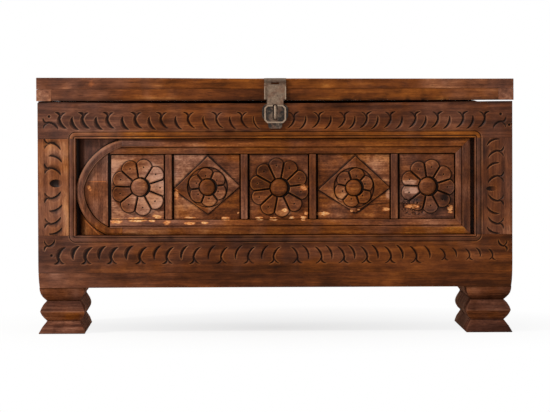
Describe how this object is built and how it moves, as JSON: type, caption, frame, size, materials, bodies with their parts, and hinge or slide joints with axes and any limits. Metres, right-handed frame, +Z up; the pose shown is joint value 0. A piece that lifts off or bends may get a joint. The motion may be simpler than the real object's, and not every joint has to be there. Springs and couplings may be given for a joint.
{
  "type": "damchiya chest",
  "caption": "Carved hardwood dowry chest on shaped sledge feet, with a lift-up lid on rear hinges and an iron hasp and staple for a padlock.",
  "frame": {"origin": "on the floor, in the middle of the chest's body", "axes": "+X to the right along the front, +Y from front to back, +Z up; the carved front faces -Y"},
  "size_m": [1.099, 0.43, 0.588],
  "materials": {
    "frame_wood": "worn, waxed",
    "carved_wood": "worn, waxed",
    "lid_wood": "worn, waxed",
    "foot_wood": "worn, waxed",
    "inner_wood": "bare",
    "worn_iron": "worn",
    "dark_iron": "dark, oiled"
  },
  "bodies": {
    "chest": {"arch_infill": "carved_wood", "back_plank_lower": "inner_wood", "back_plank_upper": "inner_wood", "body_screws": "dark_iron", "floor_bearer_left": "inner_wood", "floor_bearer_right": "inner_wood", "floor_board_front": "inner_wood", "floor_board_rear": "inner_wood", "foot_left": "foot_wood", "foot_right": "foot_wood", "front_bottom_rail": "frame_wood", "front_skirt": "frame_wood", "front_stile_left": "frame_wood", "front_stile_right": "frame_wood", "front_top_rail": "frame_wood", "hinge_left_body_leaf": "dark_iron", "hinge_pins": "dark_iron", "hinge_right_body_leaf": "dark_iron", "muntin_1": "carved_wood", "muntin_2": "carved_wood", "muntin_3": "carved_wood", "muntin_4": "carved_wood", "panel_arch_end": "carved_wood", "panel_backboard": "inner_wood", "panel_end_stile": "carved_wood", "panel_lower_rail": "carved_wood", "panel_upper_rail": "carved_wood", "side_left_bottom_rail": "frame_wood", "side_left_front_stile": "frame_wood", "side_left_panel": "frame_wood", "side_left_rear_stile": "frame_wood", "side_left_top_rail": "frame_wood", "side_right_bottom_rail": "frame_wood", "side_right_front_stile": "frame_wood", "side_right_panel": "frame_wood", "side_right_rear_stile": "frame_wood", "side_right_top_rail": "frame_wood", "staple": "worn_iron", "staple_plate": "worn_iron", "tile_1": "carved_wood", "tile_2": "carved_wood", "tile_3": "carved_wood", "tile_4": "carved_wood", "tile_5": "carved_wood"},
    "lid": {"hasp_leaf": "worn_iron", "hasp_pin": "worn_iron", "hinge_left_lid_leaf": "dark_iron", "hinge_right_lid_leaf": "dark_iron", "lid_batten_left": "inner_wood", "lid_batten_right": "inner_wood", "lid_plank_front": "lid_wood", "lid_plank_rear": "lid_wood", "lid_rim_back": "lid_wood", "lid_rim_front": "lid_wood", "lid_rim_left": "lid_wood", "lid_rim_right": "lid_wood", "lid_screws": "dark_iron"},
    "hasp": {"hasp_strap": "worn_iron"}
  },
  "joints": [
    {"name": "lid_hinge", "type": "hinge", "parent": "chest", "child": "lid", "pos_m": [0, 0.2025, 0.53625], "axis": [-1, 0, 0], "range_deg": [0, 100]},
    {"name": "hasp_hinge", "type": "hinge", "parent": "lid", "child": "hasp", "pos_m": [0, -0.208, 0.583], "axis": [-1, 0, 0], "range_deg": [0, 230]}
  ]
}
